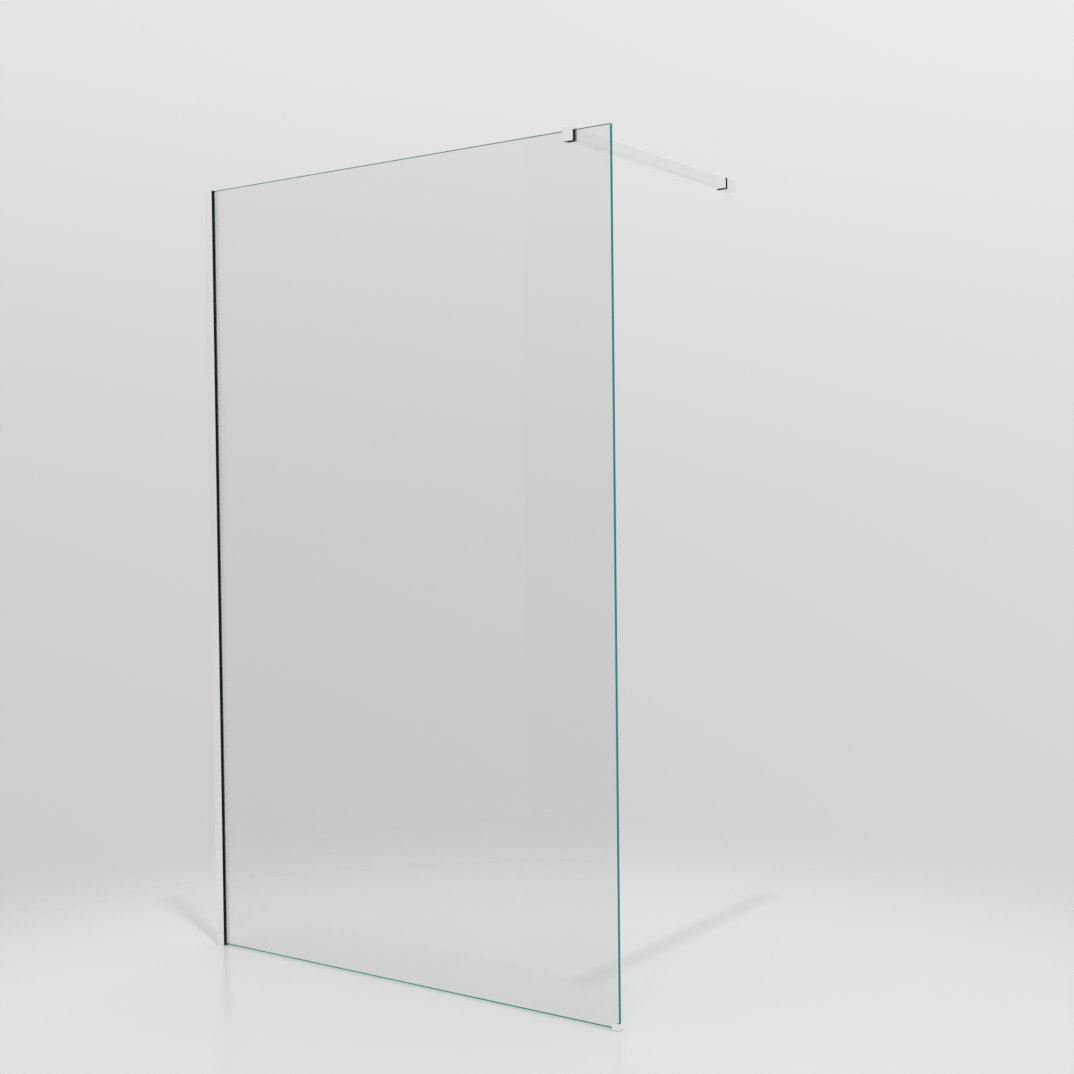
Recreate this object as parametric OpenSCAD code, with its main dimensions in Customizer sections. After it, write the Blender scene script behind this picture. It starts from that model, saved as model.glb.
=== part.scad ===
// Walk-in shower screen: one glass panel in a wall channel, stayed at the top by a square arm.
// Millimetres. X runs from the side wall along the glass, Y from the glass to the back wall, Z up.
// The origin is where the channel's back meets the side wall and the floor, at the middle of the glass.

/* [Screen] */
// Side wall to the free edge of the glass
screen_w = 1195; // [800:5:1500]
// Floor to the top edge of the glass
screen_h = 1900; // [1600:10:2200]
// Thickness of the glass
glass_t = 8; // [6:1:10]
// Gap from the floor to the bottom edge of the glass
glass_gap = 3; // [2.5:0.5:6]
// Leg of the ground arris along every glass edge
arris = 1; // [0.5:0.1:1.5]

/* [Wall channel] */
// Depth of the channel from the wall to its lips
channel_d = 25; // [22:1:35]
// Width across the channel
channel_w = 24; // [23:1:30]
// Wall thickness of the channel
channel_t = 1.6; // [1.2:0.1:2]
// Radius of the round along the channel's outer corners
channel_round = 0.6; // [0.2:0.1:1]
// Radius of a wall-screw hole
wall_hole_r = 2.75; // [2:0.25:3.5]
// Number of wall-screw holes
wall_holes = 4; // [3:1:6]
// Channel end to the first wall-screw hole
wall_hole_inset = 120; // [60:10:200]

/* [Glass profile] */
// Wall to the back of the inner profile
profile_back = 7; // [6:0.5:8]
// Wall thickness of the inner profile
profile_t = 1.5; // [1.2:0.1:1.8]
// Gap on each side between the profile and the channel
profile_slip = 0.2; // [0.1:0.05:0.3]
// Thickness of a packer between the profile and the glass's hidden edge
packer_t = 4; // [3:0.5:6]
// Metal left between the side screws' slots and the channel's lip
slot_lip = 1.3; // [1:0.1:4]
// Length of a packer behind the glass
packer_l = 60; // [30:5:100]
// Side screw down to the top of the packer under it
packer_drop = 30; // [20:5:40]

/* [Gaskets] */
// Gap between the side screws and the gaskets in front of them
gasket_gap = 1.5; // [1:0.5:4]
// Thickness of the front gasket's head over the channel's lip
gasket_head = 1.5; // [1:0.5:4]
// Height of a gasket's barbs
barb_h = 0.9; // [0.4:0.1:1.4]
// Number of barbs on a gasket
barbs = 3; // [2:1:4]

/* [Side fixings] */
// Radius of a side screw
side_screw_r = 2; // [1.5:0.25:2]
// Radius of a side screw's head
side_head_r = 3.7; // [3:0.1:4]
// Height of a side screw's head
side_head_h = 2.2; // [1.6:0.2:2.8]
// Wall thickness of a screw cap
screw_cap_t = 0.8; // [0.6:0.1:1.2]
// Number of side screws
side_screws_n = 3; // [2:1:5]
// Channel end to the first side screw
side_screw_inset = 200; // [140:10:300]
// Thickness of the channel's top cap
cap_t = 1.5; // [1:0.25:3]
// Depth of the top cap's plug
cap_plug = 12; // [6:1:20]

/* [Support clamp] */
// Middle of the clamp to the free edge of the glass
clamp_inset = 100; // [60:5:300]
// Width of the clamp along the glass
clamp_w = 25; // [25:1:32]
// Top edge of the glass to the bottom of the jaws
jaw_drop = 25; // [24:1:32]
// Thickness of the front plate
front_plate_t = 1.5; // [1:0.25:3]
// Thickness of the rubber block in front of the glass
jaw_block_t = 9; // [4:0.5:12]
// Top edge of the glass down to the top of the rubber block
block_drop = 1.5; // [0.5:0.25:3]
// Thickness of the rubber lip that runs up from the block and over the glass
lip_t = 1.5; // [1:0.25:3]
// Thickness of the bridge over the glass
bridge_t = 4; // [3:0.5:6]
// Thickness of the rubber over the glass's top edge
top_liner_t = 1; // [0.5:0.25:2]
// Thickness of the pad behind the glass
rear_pad_t = 1; // [0.7:0.1:2]
// Thickness of the pressure plate
plate_t = 2; // [1.5:0.25:3]
// Travel of the pressure plate
plate_travel = 2.5; // [1.5:0.25:4]
// Thickness of the rear wall that the clamp screw turns in
rear_wall_t = 6.25; // [5:0.25:9]
// Wall thickness around the pressure plate
cheek_t = 1.5; // [1:0.25:2]
// Radius of the clamp screw
clamp_screw_r = 3; // [2.5:0.5:4]
// Length of the clamp screw
clamp_screw_l = 18; // [14:1:22]
// Length of the spigot in the support bar
spigot_l = 24; // [22:1:40]

/* [Support bar] */
// Outside width of the square support bar
bar_w = 24; // [22:1:27]
// Wall thickness of the bar
bar_t = 1.5; // [1:0.25:2]
// Radius of the bar's outside corners
bar_round = 1.2; // [0.5:0.1:2]
// Top edge of the glass down to the bar's middle
bar_drop = 8; // [7:0.5:9]
// Middle of the glass to the back wall
wall_reach = 715; // [500:5:1200]
// Gap around what slides in the bar
spigot_gap = 0.15; // [0.1:0.05:0.3]
// Radius of the lock screws
lock_screw_r = 2; // [1.5:0.25:2.5]

/* [Wall bracket] */
// Length of the bracket from the wall
bracket_l = 43; // [43:1:60]
// Gap around the bar in the bracket
socket_gap = 0.2; // [0.1:0.05:0.4]
// Wall thickness of the bracket's sleeve
sleeve_t = 1.5; // [1.4:0.1:2.5]
// Length of the rubber collar in front of the sleeve
collar_l = 2; // [2:0.5:5]
// Length of the bar inside the bracket
bar_insert = 10; // [10:0.5:12]
// Thickness of the base that screws to the wall
base_t = 8; // [7:0.5:10]
// Distance between the base's two wall screws
base_hole_gap = 12; // [11:0.5:13]
// Radius of the base's wall-screw holes
base_hole_r = 2.2; // [1.75:0.05:2.25]
// Side of the end plug's square tail
tail_w = 18; // [16:0.5:18]

/* [Floor foot] */
// Length of glass that the foot holds
foot_grip = 17; // [12:1:40]
// Height of the foot
foot_h = 15; // [12:1:25]
// Wall thickness of the foot
foot_t = 1.8; // [1.2:0.1:3]
// Thickness of the foot's rubber liner
foot_liner_t = 1; // [0.5:0.1:1.2]
// Thickness of the bonding pad under the foot
foot_pad_t = 0.5; // [0.3:0.1:0.8]

/* [Hidden] */
$fn = 48;

// Running gap of a screw in its hole, gap of a pressed-in piece, cut past a face, and a small chamfer
screw_gap = 0.05;
press_gap = 0.1;
cut = 1;
edge = 0.4;

// Heights of the channel and of what slides in it, and the gap under its cap
cap_clearance = 0.5;
channel_h = screen_h - cap_t;
profile_top = channel_h - cap_clearance;
half_glass = glass_t / 2;
channel_inner = channel_w / 2 - channel_t;
profile_outer = channel_inner - profile_slip;
profile_inner = profile_outer - profile_t;
profile_floor_x = profile_back + profile_t;
glass_edge_x = profile_floor_x + packer_t;
cap_glass_gap = 0.3;
block_setback = 0.5;
packer_gap = 0.2;

// Side screws pass behind the glass's hidden edge, in slots as long as the glass's travel
screw_to_floor = 1;
slot_gap = 0.2;
tip_gap = 1.5;
side_screw_x = profile_floor_x + side_screw_r + screw_to_floor;
side_slot_r = side_screw_r + slot_gap;
side_slot_travel = channel_d - slot_lip - side_slot_r - side_screw_x;
side_screw_tip = half_glass + tip_gap;
recess_w = 0.9;
recess_l = 3.6;
recess_h = 1.2;
cap_fit = 0.15;
side_cap_r = side_head_r + cap_fit + screw_cap_t;
side_cap_h = side_head_h + 2 * cap_fit + screw_cap_t;

// The gaskets' inner end, in front of the side screws, and their barbs
gasket_x = side_screw_x + side_screw_r + gasket_gap;
barb_pitch = (channel_d - gasket_x - edge) / barbs;
barb_share = 0.85;

// The clamp's faces along Y and Z
cheek_gap = 0.6;
roof_gap = 0.5;
plate_gap = 0.2;
plate_stop = 0.25;
clamp_x = screen_w - clamp_inset;
block_front = -half_glass - jaw_block_t;
block_top = screen_h - block_drop;
lip_front = -half_glass - lip_t;
clamp_front = block_front - front_plate_t;
plate_front = half_glass + rear_pad_t;
plate_back = plate_front + plate_t;
pocket_back = plate_back + plate_travel + plate_stop;
clamp_back = pocket_back + rear_wall_t;
cheek_front = half_glass + cheek_gap;
jaw_bottom = screen_h - jaw_drop;
clamp_top = screen_h + top_liner_t + bridge_t;
bridge_bottom = screen_h + top_liner_t;
pocket_top = screen_h - roof_gap;
dog_l = 0.8;
dog_r = clamp_screw_r - 1;

// The bar's middle line, ends and bore, and the wall bracket's faces along Y
bar_z = screen_h - bar_drop;
bar_inner = bar_w - 2 * bar_t;
spigot_w = bar_inner - 2 * spigot_gap;
bracket_front = wall_reach - bracket_l;
sleeve_front = bracket_front + collar_l;
bar_end = bracket_front + bar_insert;
bar_screw_inset = 14;
bar_screw_y = clamp_back + bar_screw_inset;
socket_w = bar_w + 2 * socket_gap;
sleeve_w = socket_w + 2 * sleeve_t;
rebate_t = 0.7;
rebate_l = 4;
rebate_w = socket_w + 2 * rebate_t;
base_front = wall_reach - base_t;
base_w = socket_w - 2 * press_gap;
plug_l = 20;
plug_head_t = 1;
plug_inset = 0.5;
tail_gap = 2;
tail_start = bar_end + plug_head_t;
tail_end = base_front - tail_gap;
neck_start = tail_start + tail_gap;
neck_end = base_front - 0.25 * tail_gap;
neck_w = tail_w + 2 * socket_gap;
reach_screw_inset = 9;
reach_screw_y = tail_start + reach_screw_inset;
base_screw_inset = 3.5;
base_screw_y = wall_reach - base_screw_inset;
base_screw_l = 8;
screw_sink = 0.2;
countersink_r = 4;
countersink_h = 2;
socket_share = 0.55;
socket_depth = 2;

// The foot's faces
foot_base_t = glass_gap - foot_pad_t - foot_liner_t;
foot_inner = half_glass + foot_liner_t;
foot_half = foot_inner + foot_t;
foot_start = screen_w - foot_grip;
foot_end = screen_w + foot_liner_t + foot_t;
pad_inset = 1;

function spread(first, last, count, i) = first + (last - first) * i / (count - 1);
function side_screw_z(i) = spread(side_screw_inset, channel_h - side_screw_inset, side_screws_n, i);

// Flat outlines
module soft_square(w, h, r) {
    square([w - 2 * r, h], center = true);
    square([w, h - 2 * r], center = true);
    for (x = [-1, 1], y = [-1, 1])
        translate([x * (w / 2 - r), y * (h / 2 - r)])
            circle(r);
}

module chamfered_rectangle(x0, x1, y0, y1, c) {
    polygon([[x0 + c, y0], [x1 - c, y0], [x1, y0 + c], [x1, y1 - c],
        [x1 - c, y1], [x0 + c, y1], [x0, y1 - c], [x0, y0 + c]]);
}

// Solids along an axis, from one face to another
module along_y(y0, y1) {
    rotate([90, 0, 0])
        translate([0, 0, -y1])
            linear_extrude(y1 - y0)
                children();
}

module along_x(x0, x1) {
    rotate([90, 0, 90])
        translate([0, 0, x0])
            linear_extrude(x1 - x0)
                children();
}

module block(x0, x1, y0, y1, z0, z1) {
    translate([x0, y0, z0])
        cube([x1 - x0, y1 - y0, z1 - z0]);
}

// A box with every edge chamfered
module eased_block(x0, x1, y0, y1, z0, z1, c) {
    intersection() {
        translate([0, 0, z0])
            linear_extrude(z1 - z0)
                chamfered_rectangle(x0, x1, y0, y1, c);
        along_x(x0, x1)
            chamfered_rectangle(y0, y1, z0, z1, c);
        along_y(y0, y1)
            chamfered_rectangle(x0, x1, z0, z1, c);
    }
}

// A square section about the bar's middle line
module bar_section(w, r) {
    translate([clamp_x, bar_z])
        soft_square(w, w, r);
}

module at_bar(y) {
    translate([clamp_x, y, bar_z])
        children();
}

// A grub screw standing on Z, its hex socket at the bottom
module grub_screw(r, l) {
    difference() {
        union() {
            cylinder(h = edge, r1 = r - edge, r2 = r);
            translate([0, 0, edge])
                cylinder(h = l - 2 * edge, r = r);
            translate([0, 0, l - edge])
                cylinder(h = edge, r1 = r, r2 = r - edge);
        }
        translate([0, 0, -cut])
            cylinder(h = cut + socket_depth, r = r * socket_share, $fn = 6);
    }
}

// Wall channel: a U fixed to the side wall
module channel_outline() {
    difference() {
        translate([channel_d / 2, 0])
            soft_square(channel_d, channel_w, channel_round);
        translate([channel_t, -channel_inner])
            square([channel_d, 2 * channel_inner]);
    }
}

module wall_channel() {
    color("gainsboro")
        difference() {
            linear_extrude(channel_h)
                channel_outline();
            for (i = [0 : wall_holes - 1])
                translate([-cut, 0, spread(wall_hole_inset, channel_h - wall_hole_inset, wall_holes, i)])
                    rotate([0, 90, 0])
                        cylinder(h = channel_t + 2 * cut, r = wall_hole_r);
            for (i = [0 : side_screws_n - 1])
                translate([0, 0, side_screw_z(i)])
                    along_y(channel_inner - cut, channel_w / 2 + cut)
                        side_slot();
        }
}

module side_slot() {
    for (x = [side_screw_x, side_screw_x + side_slot_travel])
        translate([x, 0])
            circle(side_slot_r);
    translate([side_screw_x, -side_slot_r])
        square([side_slot_travel, 2 * side_slot_r]);
}

module channel_cap() {
    plug_start = channel_t + press_gap;
    plug_end = profile_back - cap_glass_gap;
    plug_y = channel_inner - press_gap;
    slot_y = half_glass + cap_glass_gap;
    color("silver")
        difference() {
            union() {
                translate([0, 0, channel_h])
                    linear_extrude(cap_t)
                        translate([channel_d / 2, 0])
                            soft_square(channel_d, channel_w, channel_round);
                block(plug_start, plug_end, -plug_y, plug_y, channel_h - cap_plug, channel_h + cap_t / 2);
            }
            block(glass_edge_x - cap_glass_gap, channel_d + cut, -slot_y, slot_y,
                channel_h - cut, screen_h + cut);
        }
}

// Nylon block in the channel's foot, which carries the glass and the profile
module setting_block() {
    color("dimgray")
        eased_block(channel_t + press_gap, channel_d - block_setback, -channel_inner + press_gap,
            channel_inner - press_gap, 0, glass_gap, edge);
}

// Inner profile: a U that slides in the channel and holds the glass
module glass_profile() {
    color("lightgray")
        difference() {
            translate([0, 0, glass_gap])
                linear_extrude(profile_top - glass_gap)
                    difference() {
                        translate([profile_back, -profile_outer])
                            square([channel_d - profile_back, 2 * profile_outer]);
                        translate([profile_floor_x, -profile_inner])
                            square([channel_d, 2 * profile_inner]);
                    }
            at_side_screws()
                along_y(profile_inner - cut, profile_outer + cut)
                    circle(side_screw_r + screw_gap);
        }
}

module at_side_screws() {
    for (i = [0 : side_screws_n - 1])
        translate([side_screw_x, 0, side_screw_z(i)])
            children();
}

module glass_packers() {
    packer_y = profile_inner - packer_gap;
    color("black")
        for (i = [0 : side_screws_n - 1]) {
            top = side_screw_z(i) - packer_drop;
            eased_block(profile_floor_x, glass_edge_x, -packer_y, packer_y, top - packer_l, top, edge);
        }
}

// Half-section of a gasket on the +Y side of the glass, with barbs against the profile.
// Each barb rises from its root to its tip over most of its pitch, towards the mouth.
function barb_points() = [for (i = [0 : barbs - 1], tip = [0, 1])
    [gasket_x + barb_pitch * (i + tip * barb_share), profile_inner - (1 - tip) * barb_h]];

module gasket_outline(mouth) {
    polygon(concat([[mouth, half_glass], [gasket_x, half_glass]], barb_points(), [[mouth, profile_inner]]));
}

module front_gasket() {
    head_x = channel_d + gasket_head;
    color("black")
        mirror([0, 1, 0])
            union() {
                translate([0, 0, glass_gap])
                    linear_extrude(profile_top - glass_gap)
                        gasket_outline(channel_d);
                translate([0, 0, glass_gap])
                    linear_extrude(screen_h - glass_gap)
                        chamfered_rectangle(channel_d, head_x, half_glass, channel_w / 2, edge);
                translate([0, 0, glass_gap])
                    linear_extrude(profile_top - glass_gap)
                        translate([channel_d - cut, half_glass])
                            square([2 * cut, profile_inner - half_glass]);
            }
}

module rear_gasket() {
    color("whitesmoke")
        translate([0, 0, glass_gap])
            linear_extrude(profile_top - glass_gap)
                gasket_outline(channel_d - edge);
}

// Side screws hold the profile in the channel once the glass is set
module side_screws() {
    color("silver")
        at_side_screws()
            difference() {
                union() {
                    along_y(side_screw_tip, channel_w / 2)
                        circle(side_screw_r);
                    along_y(channel_w / 2, channel_w / 2 + side_head_h)
                        circle(side_head_r);
                }
                along_y(channel_w / 2 + side_head_h - recess_h, channel_w / 2 + side_head_h + cut)
                    for (turn = [0, 90])
                        rotate(turn)
                            square([recess_l, recess_w], center = true);
            }
}

module side_screw_caps() {
    color("silver")
        at_side_screws()
            translate([0, channel_w / 2, 0])
                rotate([-90, 0, 0])
                    difference() {
                        rotate_extrude()
                            polygon([[0, 0], [side_cap_r, 0], [side_cap_r, side_cap_h - edge],
                                [side_cap_r - edge, side_cap_h], [0, side_cap_h]]);
                        translate([0, 0, -cut])
                            cylinder(h = side_cap_h - screw_cap_t + cut, r = side_cap_r - screw_cap_t);
                    }
}

module glass_panel() {
    color("paleturquoise", 0.4)
        intersection() {
            translate([0, 0, glass_gap])
                linear_extrude(screen_h - glass_gap)
                    chamfered_rectangle(glass_edge_x, screen_w, -half_glass, half_glass, arris);
            along_x(glass_edge_x, screen_w)
                chamfered_rectangle(-half_glass, half_glass, glass_gap, screen_h, arris);
        }
}

// Floor foot: a small shoe over the bottom corner, bonded to the floor
module foot_shoe() {
    color("gainsboro")
        difference() {
            eased_block(foot_start, foot_end, -foot_half, foot_half, foot_pad_t, foot_h, edge);
            block(foot_start - cut, screen_w + foot_liner_t, -foot_inner, foot_inner,
                foot_pad_t + foot_base_t, foot_h + cut);
        }
}

module foot_liner() {
    color("whitesmoke")
        difference() {
            block(foot_start + edge, screen_w + foot_liner_t, -foot_inner, foot_inner,
                foot_pad_t + foot_base_t, foot_h - edge);
            block(foot_start - cut, screen_w, -half_glass, half_glass, glass_gap, foot_h + cut);
        }
}

module foot_pad() {
    color("dimgray")
        block(foot_start + pad_inset, foot_end - pad_inset, -foot_half + pad_inset, foot_half - pad_inset,
            0, foot_pad_t);
}

// Support clamp: it hooks over the top edge of the glass and carries the bar on a spigot
module clamp_body() {
    x0 = clamp_x - clamp_w / 2;
    x1 = clamp_x + clamp_w / 2;
    color("gainsboro")
        difference() {
            union() {
                eased_block(x0, x1, clamp_front, clamp_back, jaw_bottom, clamp_top, edge);
                along_y(clamp_back - cut, clamp_back + spigot_l)
                    bar_section(spigot_w, edge);
            }
            block(x0 - cut, x1 + cut, block_front, cheek_front, jaw_bottom - cut, block_top);
            block(x0 - cut, x1 + cut, lip_front, cheek_front, block_top - cut, bridge_bottom);
            block(x0 + cheek_t, x1 - cheek_t, cheek_front - cut, pocket_back,
                jaw_bottom + cheek_t, pocket_top);
            at_bar(0)
                along_y(pocket_back - cut, clamp_back + spigot_l + cut)
                    circle(clamp_screw_r + screw_gap);
            translate([clamp_x, bar_screw_y, bar_z - spigot_w])
                cylinder(h = spigot_w, r = lock_screw_r + screw_gap);
        }
}

module clamp_liner() {
    x0 = clamp_x - clamp_w / 2 + edge;
    x1 = clamp_x + clamp_w / 2 - edge;
    color("black")
        union() {
            eased_block(clamp_x - clamp_w / 2, clamp_x + clamp_w / 2, block_front, -half_glass,
                jaw_bottom, block_top, edge / 4);
            block(x0, x1, lip_front, -half_glass, block_top - cut, bridge_bottom);
            block(x0, x1, -half_glass - cut, cheek_front, screen_h, bridge_bottom);
        }
}

module pressure_plate() {
    plate_x = clamp_w / 2 - cheek_t - plate_gap;
    color("silver")
        difference() {
            eased_block(clamp_x - plate_x, clamp_x + plate_x, plate_front, plate_back,
                jaw_bottom + cheek_t + plate_gap, pocket_top - plate_gap, edge / 2);
            at_bar(0)
                along_y(plate_back - dog_l, plate_back + cut)
                    circle(dog_r + screw_gap);
        }
}

module pressure_pad() {
    pad_x = clamp_w / 2 - cheek_t - plate_gap - edge;
    color("whitesmoke")
        block(clamp_x - pad_x, clamp_x + pad_x, half_glass, plate_front,
            jaw_bottom + cheek_t + plate_gap + edge, pocket_top - plate_gap - edge);
}

module clamp_screw() {
    color("dimgray")
        at_bar(0)
            union() {
                along_y(plate_back - dog_l, plate_back + edge)
                    circle(dog_r);
                translate([0, plate_back + clamp_screw_l, 0])
                    rotate([90, 0, 0])
                        grub_screw(clamp_screw_r, clamp_screw_l);
            }
}

module support_bar() {
    color("gainsboro")
        difference() {
            along_y(clamp_back, bar_end)
                difference() {
                    bar_section(bar_w, bar_round);
                    bar_section(bar_inner, edge);
                }
            translate([clamp_x, bar_screw_y, bar_z - bar_w / 2 - cut])
                cylinder(h = bar_t + 2 * cut, r = lock_screw_r + 2 * screw_gap);
        }
}

module bar_screw() {
    color("dimgray")
        translate([clamp_x, bar_screw_y, bar_z - bar_w / 2 + edge])
            grub_screw(lock_screw_r, bar_w / 2 - clamp_screw_r - 2 * edge - screw_sink);
}

// End plug: it closes the bar and its tail is what the bracket's lock screw grips
module bar_end_plug() {
    color("slategray")
        union() {
            along_y(bar_end - plug_l, bar_end)
                bar_section(spigot_w, edge);
            along_y(bar_end, tail_start)
                bar_section(bar_w - 2 * plug_inset, edge);
            along_y(tail_start, tail_end)
                bar_section(tail_w, edge);
        }
}

// Wall bracket: a sleeve over the bar's end and over the base on the back wall
module bracket_sleeve() {
    color("gainsboro")
        difference() {
            along_y(sleeve_front, wall_reach)
                bar_section(sleeve_w, bar_round);
            along_y(sleeve_front - cut, sleeve_front + rebate_l)
                bar_section(rebate_w, edge);
            along_y(sleeve_front - cut, neck_start)
                bar_section(socket_w, edge);
            along_y(neck_start - cut, neck_end + cut)
                bar_section(neck_w, edge);
            along_y(neck_end, wall_reach + cut)
                bar_section(socket_w, edge);
            translate([clamp_x, reach_screw_y, bar_z - sleeve_w / 2 - cut])
                cylinder(h = sleeve_w / 2 - neck_w / 2 + 2 * cut, r = lock_screw_r + screw_gap);
            translate([clamp_x, base_screw_y, bar_z - sleeve_w / 2 - cut])
                cylinder(h = sleeve_t + 2 * cut, r = lock_screw_r + 2 * screw_gap);
        }
}

module bracket_collar() {
    color("black")
        difference() {
            union() {
                along_y(bracket_front, sleeve_front)
                    bar_section(sleeve_w, bar_round);
                along_y(sleeve_front - edge, sleeve_front + rebate_l - press_gap)
                    bar_section(rebate_w - 2 * press_gap, edge);
            }
            along_y(bracket_front - cut, sleeve_front + rebate_l)
                bar_section(bar_w + socket_gap, edge);
        }
}

module bracket_base() {
    color("silver")
        difference() {
            along_y(base_front, wall_reach)
                bar_section(base_w, edge);
            for (side = [-1, 1])
                at_bar(base_front)
                    translate([side * base_hole_gap / 2, 0, 0])
                        rotate([-90, 0, 0]) {
                            translate([0, 0, -cut])
                                cylinder(h = base_t + 2 * cut, r = base_hole_r);
                            cylinder(h = countersink_h, r1 = countersink_r, r2 = base_hole_r);
                        }
            translate([clamp_x, base_screw_y, bar_z - base_w / 2 - cut])
                cylinder(h = base_screw_l + cut, r = lock_screw_r + screw_gap);
        }
}

module reach_screw() {
    color("dimgray")
        translate([clamp_x, reach_screw_y, bar_z - sleeve_w / 2 + screw_sink])
            grub_screw(lock_screw_r, sleeve_w / 2 - tail_w / 2 - screw_sink);
}

module base_screw() {
    color("dimgray")
        translate([clamp_x, base_screw_y, bar_z - sleeve_w / 2 + screw_sink])
            grub_screw(lock_screw_r, base_screw_l);
}

wall_channel();
channel_cap();
setting_block();
glass_profile();
glass_packers();
front_gasket();
rear_gasket();
side_screws();
side_screw_caps();
glass_panel();
foot_shoe();
foot_liner();
foot_pad();
clamp_body();
clamp_liner();
pressure_plate();
pressure_pad();
clamp_screw();
support_bar();
bar_screw();
bar_end_plug();
bracket_sleeve();
bracket_collar();
bracket_base();
reach_screw();
base_screw();
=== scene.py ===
# Walk-in shower screen: a clear toughened panel in a wall channel, stayed at the top by a square arm.
# Metres. X runs from the side wall along the glass, Y from the glass to the back wall, Z up.

import math

import bmesh
import bpy
from mathutils import Matrix, Vector


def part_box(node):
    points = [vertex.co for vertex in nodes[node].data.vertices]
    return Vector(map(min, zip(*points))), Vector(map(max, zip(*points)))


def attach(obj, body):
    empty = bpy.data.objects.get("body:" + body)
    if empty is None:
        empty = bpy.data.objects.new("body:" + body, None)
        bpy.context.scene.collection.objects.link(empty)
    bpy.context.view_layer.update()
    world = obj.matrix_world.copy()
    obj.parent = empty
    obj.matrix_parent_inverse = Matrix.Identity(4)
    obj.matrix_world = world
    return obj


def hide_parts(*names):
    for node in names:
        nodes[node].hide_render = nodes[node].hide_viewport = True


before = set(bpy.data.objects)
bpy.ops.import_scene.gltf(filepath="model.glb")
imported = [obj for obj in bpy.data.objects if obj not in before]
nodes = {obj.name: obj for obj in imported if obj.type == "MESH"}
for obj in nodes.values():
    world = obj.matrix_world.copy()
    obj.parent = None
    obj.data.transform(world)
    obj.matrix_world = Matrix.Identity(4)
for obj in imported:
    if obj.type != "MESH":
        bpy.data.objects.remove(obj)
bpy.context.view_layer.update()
MM = 0.001

# The photograph's view: place of the eye, its tilt and its lens
EYE = (2.92405, -2.7707, 1.128)
TILT = (math.radians(88.502), math.radians(0.644), math.radians(34.826))
LENS_MM = 52.34

# Plain colours, in linear light
CHROME = (0.96, 0.962, 0.965)
BRIGHT_ALUMINIUM = (0.92, 0.925, 0.93)
RUBBER_BLACK = (0.006, 0.006, 0.0065)
RUBBER_BLOOM = (0.012, 0.012, 0.0125)
NYLON_BLACK = (0.03, 0.03, 0.032)
NYLON_FLOW = (0.055, 0.055, 0.058)
FOAM_WHITE = (0.80, 0.80, 0.81)
VINYL_MILK = (0.93, 0.95, 0.95)
VINYL_CLOUD = (0.88, 0.92, 0.92)
ZINC_BLUE = (0.62, 0.65, 0.69)
ZINC_YELLOW = (0.72, 0.72, 0.66)
CAST_GREY = (0.42, 0.43, 0.45)
CAST_PALE = (0.55, 0.56, 0.58)
OXIDE_BLACK = (0.035, 0.035, 0.038)
OXIDE_WORN = (0.14, 0.14, 0.15)
GLASS_TINT = (0.900, 0.903, 0.902)
# The glass's edges: deep green in the middle of their width, and teal towards the faces as painted
# reflection
EDGE_TEAL = (0.004, 0.300, 0.272)
EDGE_DEEP = (0.002, 0.212, 0.192)
ARRIS_TEAL = (0.012, 0.335, 0.305)
# Painted shade, greener, for the foot of the glass's edges, and painted light, paler, for their top
EDGE_PAINTED_SHADE = (0.008, 0.175, 0.088)
EDGE_PAINTED_LIGHT = (0.060, 0.215, 0.190)
EDGE_PASS = (0.45, 0.75, 0.74)
FLOOR_PALE = (0.66, 0.66, 0.66)

# How high the painted shade, a greener foot of the glass's edges, goes, and how far down their painted
# light, a paler top, goes
EDGE_PAINTED_SHADE_HEIGHT = 28 * MM
EDGE_PAINTED_LIGHT_DEPTH = 4 * MM
# How far off the glass's middle its edges turn from deep green to teal, a painted reflection paler towards
# the faces
EDGE_PAINTED_REFLECTION_SPAN = (0.5 * MM, 3.0 * MM)

# The floor, whose rim fades out to the backdrop between two distances
FLOOR_FADE = (1.3, 2.6)
FLOOR_RADIUS = 2.7
FLOOR_SIDES = 64
FLOOR_CENTRE = (1.3, -0.5, 0.0)

# The backdrop's brightness at heights from straight down to straight up, and its rise to the free side
BACKDROP = ((0.0, 0.74), (0.34, 0.69), (0.41, 0.705), (0.50, 0.74), (0.56, 0.785), (0.63, 0.86), (1.0, 1.0))
BACKDROP_RISE = 0.12
BACKDROP_RISE_END = -0.25
# What lights the part and is mirrored in it: behind the screen, and in front, dimmer to the free side
BEHIND = ((0.0, 0.76), (0.38, 0.728), (0.42, 0.728), (0.50, 0.74), (0.62, 0.757), (0.70, 0.88), (1.0, 1.0))
IN_FRONT = ((0.0, 0.78), (0.40, 0.68), (0.50, 0.64), (0.56, 0.69), (0.62, 0.765), (0.70, 0.88), (1.0, 1.0))
FREE_SIDE_DIM = 0.22
# Over which values a way stops being level, turns to the free side, and turns from front to back
LEVEL_WAY = (0.04, 0.18)
FREE_SIDE = (-0.62, -0.35)
BACK_BLEND = 0.3

# The softboxes: where each stands and aims, its width and height, and how bright it is
OVERHEAD_PLACE = (1.55, -0.80, 8.0)
OVERHEAD_AIM = (1.1, 0.3, 0.0)
OVERHEAD_SIZE = (0.22, 0.22)
OVERHEAD_GLOW = 1080.0
FRONT_PLACE = (-2.1, -3.0, 0.9)
FRONT_AIM = (-2.1, 0.0, 0.9)
FRONT_SIZE = (1.9, 4.4)
FRONT_GLOW = 0.16

# The glass's ground arrises, their softened corners, and how square a flat face is to its axis
ARRIS = 1.0 * MM
ARRIS_SOFT = 0.15 * MM
FLAT = 0.999
# Its finishes, in their order on the piece
CLEAR_FACE, EDGE_FLAT, EDGE_ARRIS = range(3)

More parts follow.
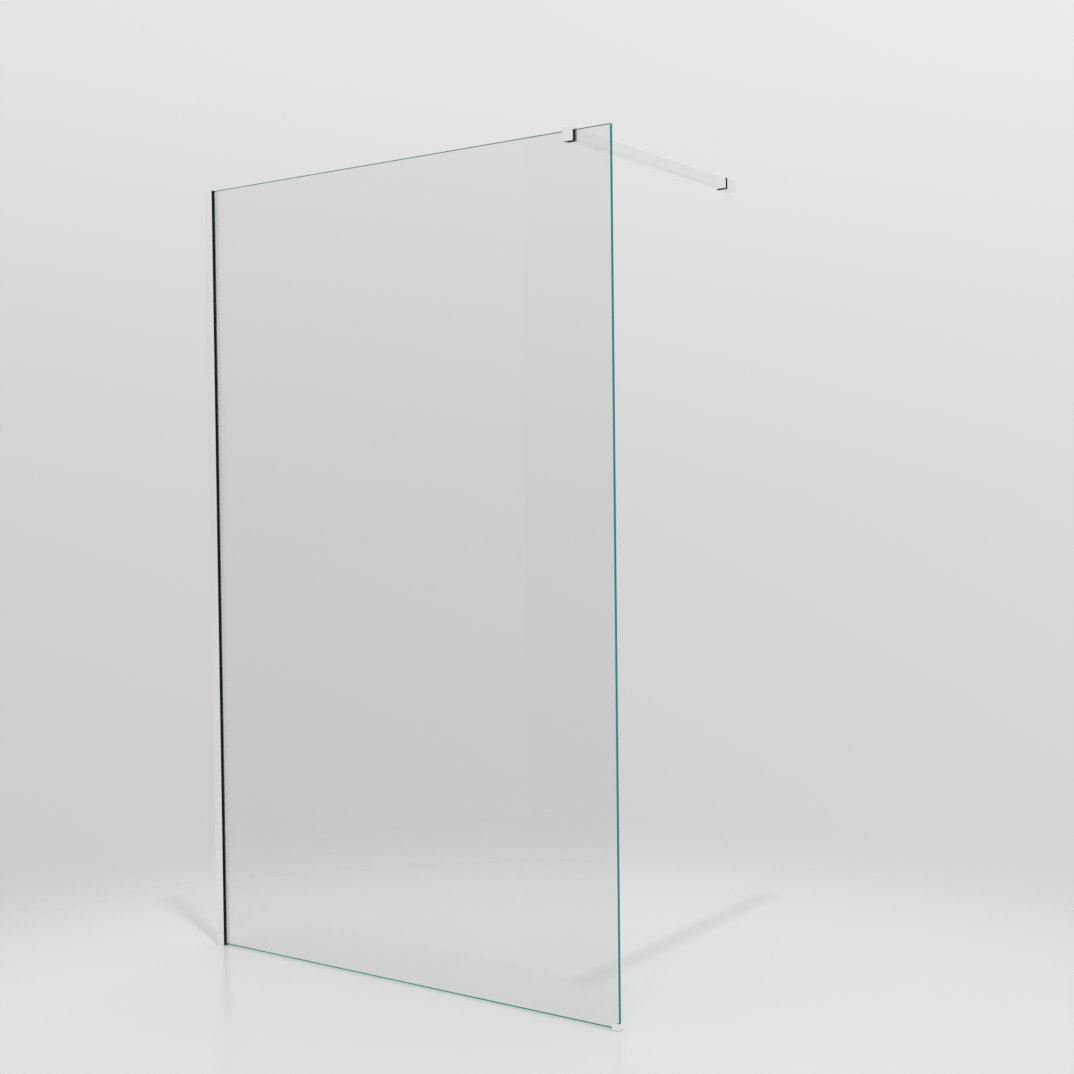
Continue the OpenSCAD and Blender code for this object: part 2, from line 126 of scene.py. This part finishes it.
# Grub screws, and the clamp screw's dog point
M4_RADIUS, M4_PITCH = 2.0 * MM, 0.7 * MM
M6_RADIUS, M6_PITCH = 3.0 * MM, 1.0 * MM
DOG_RADIUS, DOG_LENGTH = 2.0 * MM, 0.8 * MM
SCREW_SIDES = 24
SCREW_CHAMFER = 0.4 * MM
# The thread's depth as a share of its pitch, and its steps in each turn
THREAD_DEPTH = 0.5
THREAD_STEPS = 8
# The hex socket's corners as a share of the screw's radius, its depth and its lead-in
SOCKET_CORNER = 0.55
SOCKET_DEEP = 2.0 * MM
SOCKET_LEAD = 0.15 * MM

# Snap caps of the side screws: their number, wall, rounded rim and crown, and how finely they are turned
CAP_COUNT = 3
CAP_WALL = 0.8 * MM
CAP_ROUND = 1.1 * MM
CAP_CROWN = 0.35 * MM
CAP_SIDES = 48
CAP_STEPS = 6

# Edges sharper than this many degrees are eased or kept crisp, and flatter ones than FLAT_WITHIN are joined
SHARP_FROM = 30
FLAT_WITHIN = 1
WELD_GAP = 0.002 * MM
EASED_STEPS = 3

# How far the edges of each kind of piece are eased
CHROME_EASE = 0.15 * MM
SECTION_EASE = 0.12 * MM
RUBBER_EASE = 0.15 * MM
VINYL_EASE = 0.12 * MM
NYLON_EASE = 0.1 * MM
PLATED_EASE = 0.08 * MM
CAST_EASE = 0.12 * MM


# Shader building
class Value:
    """One output of a shader node. Arithmetic on it adds Math nodes."""

    def __init__(self, finish, socket):
        self.finish = finish
        self.socket = socket

    def math(self, operation, *others):
        """What a Math node makes of this value and the others."""
        return self.finish.add("Math", {"operation": operation}, dict(enumerate((self, *others))))

    def __add__(self, other):
        return self.math("ADD", other)

    def __mul__(self, other):
        return self.math("MULTIPLY", other)

    def __rsub__(self, other):
        return self.finish.add("Math", {"operation": "SUBTRACT"}, {0: other, 1: self})

    __radd__ = __add__
    __rmul__ = __mul__


class Finish:
    """A node tree being made, of a material or of the world."""

    def __init__(self, owner):
        owner.use_nodes = True
        self.owner = owner
        self.tree = owner.node_tree
        self.tree.nodes.clear()

    def add(self, kind, settings, sockets, output=0):
        """Adds a node: its settings first, then the values or links of its sockets."""
        made = self.tree.nodes.new("ShaderNode" + kind)
        for name, setting in settings.items():
            if name == "stops":
                fill_ramp(made.color_ramp, setting)
            else:
                setattr(made, name, setting)
        for name, value in sockets.items():
            if isinstance(value, Value):
                self.tree.links.new(value.socket, made.inputs[name])
            else:
                made.inputs[name].default_value = value
        return Value(self, made.outputs[output])

    def place(self, stretch=(1, 1, 1)):
        """Where a point is on the piece, in metres, stretched along each axis."""
        here = self.add("TexCoord", {}, {}, "Object")
        return self.add("VectorMath", {"operation": "MULTIPLY"}, {0: here, 1: stretch})

    def noise(self, scale, detail, stretch=(1, 1, 1)):
        """Smooth noise about one half, with that many features a metre."""
        sockets = {"Vector": self.place(stretch), "Scale": scale, "Detail": detail}
        return self.add("TexNoise", {}, sockets, "Fac")

    def cells(self, scale):
        """Distance to the nearest of scattered points, that many a metre, as a share of their spacing."""
        return self.add("TexVoronoi", {}, {"Vector": self.place(), "Scale": scale}, "Distance")

    def along(self, axis):
        """How far along an axis a point on the piece is, in metres."""
        return self.add("SeparateXYZ", {}, {"Vector": self.place()}, axis)

    def part(self, value, low, high, to_low=0.0, to_high=1.0):
        """value's place between low and high, smoothed and held to the ends."""
        sockets = {"Value": value, 1: low, 2: high, 3: to_low, 4: to_high}
        return self.add("MapRange", {"interpolation_type": "SMOOTHSTEP"}, sockets)

    def blend(self, factor, first, second):
        """A colour between two colours."""
        return self.add("Mix", {"data_type": "RGBA"}, {0: factor, 6: opaque(first), 7: opaque(second)}, 2)

    def bump(self, height, depth):
        """A bumped normal from a height of 0 to 1, that many metres deep."""
        return self.add("Bump", {}, {"Height": height, "Distance": depth, "Strength": 1.0}, "Normal")

    def levels(self, place, stops):
        """A grey level along a row of stops."""
        return self.add("ValToRGB", {"stops": [(at, (level,) * 3) for at, level in stops]}, {"Fac": place})

    def surface(self, base, roughness, **others):
        """A surface shader. Its other sockets are named with _ for spaces."""
        sockets = {"Base Color": opaque(base), "Roughness": roughness}
        sockets.update({name.replace("_", " "): value for name, value in others.items()})
        return self.add("BsdfPrincipled", {}, sockets)

    def mix_shaders(self, factor, first, second):
        """A shader between two shaders."""
        return self.add("MixShader", {}, {0: factor, 1: first, 2: second})

    def pass_light(self, shader, tint):
        """Lets shadow and diffuse rays straight through, tinted, so that glass throws no dark shadow."""
        shadow = self.add("LightPath", {}, {}, "Is Shadow Ray")
        diffuse = self.add("LightPath", {}, {}, "Is Diffuse Ray")
        straight = self.add("BsdfTransparent", {}, {"Color": opaque(tint)})
        return self.mix_shaders(shadow.math("MAXIMUM", diffuse), shader, straight)

    def done(self, shader, kind="OutputMaterial"):
        """Joins the shader to the output, and returns the material or world."""
        last = self.tree.nodes.new("ShaderNode" + kind)
        self.tree.links.new(shader.socket, last.inputs["Surface"])
        return self.owner


def opaque(colour):
    """A colour as a socket wants it, with its alpha."""
    return colour if isinstance(colour, Value) else (*colour, 1.0)


def darker(colour, share):
    """A colour at a share of its brightness."""
    return [share * level for level in colour]


def fill_ramp(ramp, stops):
    """Puts stops, each a position and a colour, on a ramp."""
    while len(ramp.elements) < len(stops):
        ramp.elements.new(0.5)
    for element, (position, colour) in zip(ramp.elements, stops):
        element.position = position
        element.color = (*colour, 1.0)


def new_finish(name):
    """Starts a material's node tree."""
    return Finish(bpy.data.materials.new(name))


# Metals
def polished_chrome(name, along):
    """Bright chrome plate, with faint polishing lines along an axis, wiped smears and a few dried drops."""
    f = new_finish(name)
    smear = f.part(f.noise(14, 4), 0.48, 0.68)
    lines = f.noise(1400, 2, stretch=[0.01 if axis == along else 1 for axis in "xyz"])
    pits = f.part(f.cells(260), 0.0, 0.06, 1.0, 0.0)
    roughness = 0.035 + 0.05 * smear + 0.05 * lines + 0.15 * pits
    base = f.blend(smear, CHROME, darker(CHROME, 0.975))
    normal = f.bump(lines + 0.25 * f.noise(60, 2), 0.006 * MM)
    return f.done(f.surface(base, roughness, Metallic=1.0, Normal=normal))


def extruded_aluminium():
    """Bright-polished aluminium section, with the drawn lines of the die along its length."""
    f = new_finish("bright_aluminium")
    drawn = f.noise(1800, 3, stretch=(1, 1, 0.002))
    cloud = f.part(f.noise(9, 3), 0.4, 0.7)
    base = f.blend(cloud, BRIGHT_ALUMINIUM, darker(BRIGHT_ALUMINIUM, 0.96))
    roughness = 0.07 + 0.10 * drawn + 0.04 * cloud
    normal = f.bump(drawn, 0.008 * MM)
    return f.done(f.surface(base, roughness, Metallic=1.0, Normal=normal))


def zinc_plate():
    """Bright zinc on steel: a cool grey with patchy passivation and tumbling marks."""
    f = new_finish("zinc_plated_steel")
    patch = f.noise(320, 4)
    base = f.blend(patch, ZINC_BLUE, ZINC_YELLOW)
    roughness = 0.22 + 0.2 * patch
    normal = f.bump(f.noise(2600, 2) + f.cells(900), 0.012 * MM)
    return f.done(f.surface(base, roughness, Metallic=1.0, Normal=normal))


def black_oxide():
    """Blackened steel of the grub screws, worn paler in patches."""
    f = new_finish("black_oxide_steel")
    worn = f.part(f.noise(900, 4), 0.55, 0.75)
    base = f.blend(worn, OXIDE_BLACK, OXIDE_WORN)
    roughness = 0.42 - 0.12 * worn
    normal = f.bump(f.noise(5200, 2), 0.008 * MM)
    return f.done(f.surface(base, roughness, Metallic=0.9, Normal=normal))


def cast_zinc():
    """As-cast zinc alloy, tumbled: dull, with a fine orange-peel skin and flow marks."""
    f = new_finish("cast_zinc")
    flow = f.noise(75, 4, stretch=(1, 0.3, 1))
    base = f.blend(flow, CAST_GREY, CAST_PALE)
    roughness = 0.38 + 0.22 * flow
    normal = f.bump(f.noise(1500, 3) + 0.5 * f.cells(700), 0.03 * MM)
    return f.done(f.surface(base, roughness, Metallic=0.95, Normal=normal))


# Rubbers and plastics
def black_rubber():
    """Black rubber: fine moulded grain, drawn lines and a little bloom."""
    f = new_finish("black_rubber")
    grain = f.noise(6500, 2)
    drawn = f.noise(2500, 2, stretch=(1, 1, 0.004))
    bloom = f.part(f.noise(22, 4), 0.5, 0.8)
    base = f.blend(bloom, RUBBER_BLACK, RUBBER_BLOOM)
    roughness = 0.55 + 0.14 * bloom
    normal = f.bump(0.6 * grain + 0.4 * drawn, 0.02 * MM)
    return f.done(f.surface(base, roughness, Normal=normal, Specular_IOR_Level=0.1))


def clear_vinyl():
    """Milky clear vinyl of the rear gasket and the liners."""
    f = new_finish("clear_vinyl")
    cloud = f.noise(90, 3)
    base = f.blend(cloud, VINYL_MILK, VINYL_CLOUD)
    roughness = 0.22 + 0.12 * cloud
    normal = f.bump(f.noise(1500, 2, stretch=(1, 1, 0.01)), 0.015 * MM)
    return f.done(f.surface(base, roughness, Normal=normal, Coat_Weight=0.25))


def black_nylon():
    """Moulded nylon of the packers and the setting block."""
    f = new_finish("black_nylon")
    flow = f.noise(120, 4)
    base = f.blend(flow, NYLON_BLACK, NYLON_FLOW)
    roughness = 0.36 + 0.18 * flow
    normal = f.bump(f.noise(3800, 2), 0.02 * MM)
    return f.done(f.surface(base, roughness, Normal=normal))


def foam_tape():
    """Closed-cell bonding foam under the foot."""
    f = new_finish("foam_tape")
    cells = f.cells(2200)
    base = f.blend(f.part(cells, 0.05, 0.4), darker(FOAM_WHITE, 0.9), FOAM_WHITE)
    normal = f.bump(cells, 0.12 * MM)
    return f.done(f.surface(base, 0.85, Normal=normal))


# Glass
def clear_glass():
    """The faces of the panel: clear float glass."""
    f = new_finish("clear_glass")
    pane = f.surface(GLASS_TINT, 0.0, IOR=1.5, Transmission_Weight=1.0)
    return f.done(f.pass_light(pane, GLASS_TINT))


def along_edges(f, colour):
    """Painted shade, greener, by the floor, and painted light, paler, along the top, where the light falls
    in.
    """
    low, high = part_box("glass_panel")
    height = f.along("Z")
    with_painted_shade = f.blend(f.part(height, low.z, low.z + EDGE_PAINTED_SHADE_HEIGHT), EDGE_PAINTED_SHADE, colour)
    return f.blend(f.part(height, high.z - EDGE_PAINTED_LIGHT_DEPTH, high.z - ARRIS), with_painted_shade, EDGE_PAINTED_LIGHT)


def polished_edge():
    """The flat of the edges: polished, and deep green, as clear float glass is through its width, with a
    painted reflection paler towards each face, in streaks and in patches.
    """
    f = new_finish("polished_edge")
    off_middle = f.along("Y").math("ABSOLUTE")
    streak_of_polish_and_painted_reflection = f.noise(1100, 3, stretch=(0.01, 1, 0.01))
    # Painted reflection: paler towards the faces, in streaks and in patches; the streaks also vary the
    # polish's roughness
    depth = f.part(off_middle, *EDGE_PAINTED_REFLECTION_SPAN) * 0.55 + 0.25 * f.noise(5, 3) + 0.25 * streak_of_polish_and_painted_reflection
    # The edges get painted shade by the floor and painted light along the top
    base = along_edges(f, f.blend(depth, EDGE_DEEP, EDGE_TEAL))
    roughness = 0.08 + 0.08 * streak_of_polish_and_painted_reflection
    flat = f.surface(base, roughness, Specular_IOR_Level=0.15)
    return f.done(f.pass_light(flat, EDGE_PASS))


def ground_arris():
    """The ground and polished arrises: a paler, softer line along each edge."""
    f = new_finish("ground_arris")
    grit = f.noise(2400, 3)
    # The arrises get the same painted shade by the floor and painted light along the top
    base = along_edges(f, f.blend(grit, EDGE_TEAL, ARRIS_TEAL))
    normal = f.bump(grit, 0.01 * MM)
    ground = f.surface(base, 0.28 + 0.1 * grit, Normal=normal, Specular_IOR_Level=0.2)
    return f.done(f.pass_light(ground, EDGE_PASS))


# Studio
def pale_floor():
    """Plain pale floor, which fades out to the backdrop far from the screen."""
    f = new_finish("pale_floor")
    cloud = f.noise(2.5, 3)
    base = f.blend(cloud, FLOOR_PALE, darker(FLOOR_PALE, 0.985))
    ground = f.surface(base, 0.16 + 0.05 * cloud, Specular_IOR_Level=0.12)
    distance = f.add("VectorMath", {"operation": "LENGTH"}, {0: f.place()}, "Value")
    faded = f.part(distance, *FLOOR_FADE)
    away = f.add("BsdfTransparent", {}, {})
    return f.done(f.mix_shaders(faded, ground, away))


def make_floor():
    """A round floor under the screen."""
    mesh = bpy.data.meshes.new("floor")
    bm = bmesh.new()
    bmesh.ops.create_circle(bm, cap_ends=True, segments=FLOOR_SIDES, radius=FLOOR_RADIUS)
    bm.to_mesh(mesh)
    bm.free()
    floor = bpy.data.objects.new("floor", mesh)
    bpy.context.scene.collection.objects.link(floor)
    floor.location = FLOOR_CENTRE
    mesh.materials.append(pale_floor())


def make_backdrop():
    """A pale backdrop, brighter overhead and to the free side. Metal mirrors a light tent of its own."""
    world = bpy.data.worlds.new("light_tent")
    bpy.context.scene.world = world
    f = Finish(world)
    way = f.add("TexCoord", {}, {}, "Generated")
    side, depth, rise = (f.add("SeparateXYZ", {}, {"Vector": way}, axis) for axis in "XYZ")
    height = 0.5 * rise + 0.5
    seen = f.levels(height, BACKDROP) + BACKDROP_RISE * side.math("MINIMUM", BACKDROP_RISE_END)
    level_way = 1 - f.part(rise.math("ABSOLUTE"), *LEVEL_WAY)
    dimmed = 1 - FREE_SIDE_DIM * level_way * f.part(side, *FREE_SIDE)
    facing_back = f.part(depth, -BACK_BLEND, BACK_BLEND)
    behind = f.levels(height, BEHIND) * facing_back
    in_front = f.levels(height, IN_FRONT) * dimmed * (1 - facing_back)
    camera = f.add("LightPath", {}, {}, "Is Camera Ray")
    through = f.add("LightPath", {}, {}, "Is Transmission Ray")
    straight = camera.math("MAXIMUM", through)
    glow = seen * straight + (behind + in_front) * (1 - straight)
    f.done(f.add("Background", {}, {"Color": (1.0, 1.0, 1.0, 1.0), "Strength": glow}), "OutputWorld")


def make_light(name, place, aim, size, glow):
    """A softbox, as bright as glow seen from the front."""
    width, height = size
    light = bpy.data.lights.new(name, "AREA")
    light.shape = "RECTANGLE"
    light.size = width
    light.size_y = height
    light.energy = glow * math.pi * width * height
    lamp = bpy.data.objects.new(name, light)
    bpy.context.scene.collection.objects.link(lamp)
    lamp.location = place
    lamp.rotation_euler = (Vector(aim) - Vector(place)).to_track_quat("-Z", "Y").to_euler()
    lamp.visible_camera = False
    lamp.visible_transmission = False


def make_lights():
    """A small softbox overhead throws the shadows. A tall one in front is mirrored faintly in the glass."""
    make_light("overhead_softbox", OVERHEAD_PLACE, OVERHEAD_AIM, OVERHEAD_SIZE, OVERHEAD_GLOW)
    make_light("front_softbox", FRONT_PLACE, FRONT_AIM, FRONT_SIZE, FRONT_GLOW)


def make_camera():
    """The camera at the photograph's viewing angle."""
    lens = bpy.data.cameras.new("photograph_view")
    lens.lens = LENS_MM
    camera = bpy.data.objects.new("photograph_view", lens)
    bpy.context.scene.collection.objects.link(camera)
    camera.location = EYE
    camera.rotation_euler = TILT
    bpy.context.scene.camera = camera


# Pieces
def add_piece(name, bm, body, finishes):
    """Turns a bmesh into a piece that rides on a body."""
    mesh = bpy.data.meshes.new(name)
    bm.to_mesh(mesh)
    bm.free()
    piece = bpy.data.objects.new(name, mesh)
    bpy.context.scene.collection.objects.link(piece)
    for finish in finishes:
        mesh.materials.append(finish)
    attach(piece, body)
    return piece


def glass_finish(normal):
    """Which of the glass's finishes a face that looks that way has."""
    if abs(normal.y) > FLAT:
        return CLEAR_FACE
    if max(abs(normal.x), abs(normal.z)) > FLAT:
        return EDGE_FLAT
    return EDGE_ARRIS


def make_glass(finishes):
    """The panel with its ground arrises. Its two faces are clear, its edges green and its arrises paler."""
    low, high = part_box("glass_panel")
    bm = bmesh.new()
    bmesh.ops.create_cube(bm, size=1.0)
    middle, span = (low + high) / 2, high - low
    place = Matrix.Translation(middle) @ Matrix.Diagonal((*span, 1.0))
    bmesh.ops.transform(bm, matrix=place, verts=bm.verts)
    bmesh.ops.bevel(bm, geom=bm.edges[:], offset=ARRIS, segments=1, affect="EDGES")
    bmesh.ops.bevel(bm, geom=bm.edges[:], offset=ARRIS_SOFT, segments=2, profile=0.5, affect="EDGES")
    for face in bm.faces:
        face.material_index = glass_finish(face.normal)
        face.smooth = False
    panel = add_piece("glass_sheet", bm, "glass_unit", finishes)
    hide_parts("glass_panel")


def turn_rings(bm, place, rings):
    """A closed skin through rings of radii about place's Z axis. Each ring is a height and its radii."""
    rows = []
    for height, radii in rings:
        angles = [2 * math.pi * i / len(radii) for i in range(len(radii))]
        around = [(r * math.cos(a), r * math.sin(a), height) for r, a in zip(radii, angles)]
        rows.append([bm.verts.new(place @ Vector(point)) for point in around])
    for low, high in zip(rows, rows[1:]):
        for i in range(len(low)):
            bm.faces.new((low[i - 1], low[i], high[i], high[i - 1]))
    bm.faces.new(rows[0])
    bm.faces.new(rows[-1])


def finish_turned(bm, name, body, finish, node):
    """Turns skins made of rings into a smooth piece with crisp corners, in place of a node."""
    bmesh.ops.recalc_face_normals(bm, faces=bm.faces[:])
    for face in bm.faces:
        face.smooth = True
    piece = add_piece(name, bm, body, [finish])
    piece.data.set_sharp_from_angle(angle=math.radians(SHARP_FROM))
    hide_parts(node)


def plain_ring(height, radius, sides=SCREW_SIDES):
    """A ring at a height, with the radii of a circle."""
    return height, [radius] * sides


def hex_ring(height, corner):
    """A ring at a height, with the radii of a hexagon."""
    flat = corner * math.cos(math.radians(30))
    turns = [i * 360 / SCREW_SIDES % 60 - 30 for i in range(SCREW_SIDES)]
    return height, [flat / math.cos(math.radians(turn)) for turn in turns]


def thread_ring(height, radius, length, pitch):
    """A ring at a height, with the radii of a screw's thread, which runs out at both ends."""
    inside = min(height - SCREW_CHAMFER, length - SCREW_CHAMFER - height)
    deep = THREAD_DEPTH * pitch * min(1.0, inside / pitch)
    turns = [i / SCREW_SIDES for i in range(SCREW_SIDES)]
    return height, [radius - deep * abs(2 * ((height / pitch - turn) % 1.0) - 1) for turn in turns]


def make_grub_screw(node, finish, radius, pitch, length, place, tip=None):
    """A grub screw from its hex socket, at place, along its thread to a flat point or to a tip's rings."""
    corner = SOCKET_CORNER * radius
    steps = round(THREAD_STEPS * (length - 2 * SCREW_CHAMFER) / pitch)
    rings = [hex_ring(SOCKET_DEEP, corner), hex_ring(SOCKET_LEAD, corner), hex_ring(0, corner + SOCKET_LEAD)]
    rings.append(plain_ring(0, radius - SCREW_CHAMFER))
    for i in range(steps + 1):
        height = SCREW_CHAMFER + (length - 2 * SCREW_CHAMFER) * i / steps
        rings.append(thread_ring(height, radius, length, pitch))
    rings += tip or [plain_ring(length, radius - SCREW_CHAMFER)]
    bm = bmesh.new()
    turn_rings(bm, place, rings)
    finish_turned(bm, node + "_threaded", node, finish, node)


def make_grub_screws(finish):
    """Three lock screws stand on Z, their sockets below. The clamp screw lies on Y, its socket behind."""
    for node in ("bar_screw", "reach_screw", "base_screw"):
        low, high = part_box(node)
        place = Matrix.Translation(((low.x + high.x) / 2, (low.y + high.y) / 2, low.z))
        make_grub_screw(node, finish, M4_RADIUS, M4_PITCH, high.z - low.z, place)
    low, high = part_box("clamp_screw")
    place = Matrix.Translation(((low.x + high.x) / 2, high.y, (low.z + high.z) / 2))
    place = place @ Matrix.Rotation(math.radians(90), 4, "X")
    length = high.y - low.y - DOG_LENGTH
    dog_point = [plain_ring(length, DOG_RADIUS), plain_ring(length + DOG_LENGTH, DOG_RADIUS)]
    make_grub_screw("clamp_screw", finish, M6_RADIUS, M6_PITCH, length, place, dog_point)


def make_screw_caps(finish):
    """Snap caps over the side screws: thin cups with a rounded rim and a slight crown."""
    low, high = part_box("side_screw_caps")
    radius, tall = (high.x - low.x) / 2, high.y - low.y
    shoulder = tall - CAP_CROWN
    # From the inside of the top, down the bore and out at its mouth
    rings = [(tall - CAP_WALL, radius - CAP_WALL), (0, radius - CAP_WALL), (0, radius)]
    # The rounded rim
    for i in range(CAP_STEPS + 1):
        turn = math.radians(90 * i / CAP_STEPS)
        inward = CAP_ROUND * (1 - math.cos(turn))
        rings.append((shoulder - CAP_ROUND * (1 - math.sin(turn)), radius - inward))
    # The crown, nearly to its middle
    flat = radius - CAP_ROUND
    for i in range(1, CAP_STEPS):
        share = i / CAP_STEPS
        rings.append((shoulder + CAP_CROWN * (1 - (1 - share) ** 2), flat * (1 - share)))
    bm = bmesh.new()
    for i in range(CAP_COUNT):
        z = low.z + radius + (high.z - low.z - 2 * radius) * i / (CAP_COUNT - 1)
        place = Matrix.Translation(((low.x + high.x) / 2, low.y, z))
        place = place @ Matrix.Rotation(math.radians(-90), 4, "X")
        turn_rings(bm, place, [plain_ring(height, reach, CAP_SIDES) for height, reach in rings])
    finish_turned(bm, "screw_cap_covers", "glass_unit", finish, "side_screw_caps")


def ease(node, width):
    """Rounds a node's sharp edges, so that they catch the light as real ones do."""
    weld = node.modifiers.new("weld", "WELD")
    weld.merge_threshold = WELD_GAP
    flat = node.modifiers.new("flat_faces", "DECIMATE")
    flat.decimate_type = "DISSOLVE"
    flat.angle_limit = math.radians(FLAT_WITHIN)
    bevel = node.modifiers.new("eased_edges", "BEVEL")
    bevel.width = width
    bevel.segments = EASED_STEPS
    bevel.limit_method = "ANGLE"
    bevel.angle_limit = math.radians(SHARP_FROM)
    normals = node.modifiers.new("even_normals", "WEIGHTED_NORMAL")
    normals.keep_sharp = True


def dress(names, finish, width=None):
    """Gives nodes their finish and, where a width is given, eased edges."""
    for name in names:
        node = nodes[name]
        for slot in node.material_slots:
            slot.material = finish
        if width:
            ease(node, width)


# The studio, then the pieces in their finishes
make_camera()
make_backdrop()
make_lights()
make_floor()

make_glass([clear_glass(), polished_edge(), ground_arris()])
dress(["support_bar"], polished_chrome("chrome_bar", "y"))
dress(["clamp_body", "bracket_sleeve", "foot_shoe"], polished_chrome("chrome_hardware", "x"), CHROME_EASE)
dress(["wall_channel", "glass_profile", "channel_cap"], extruded_aluminium(), SECTION_EASE)
make_screw_caps(polished_chrome("chrome_caps", "y"))
rubber = black_rubber()
dress(["front_gasket"], rubber)
dress(["clamp_liner", "bracket_collar"], rubber, RUBBER_EASE)
dress(["rear_gasket", "foot_liner", "pressure_pad"], clear_vinyl(), VINYL_EASE)
dress(["setting_block", "glass_packers"], black_nylon(), NYLON_EASE)
dress(["foot_pad"], foam_tape())
dress(["pressure_plate", "side_screws"], zinc_plate(), PLATED_EASE)
make_grub_screws(black_oxide())
dress(["bar_end_plug", "bracket_base"], cast_zinc(), CAST_EASE)

bpy.context.scene.view_settings.view_transform = "Standard"
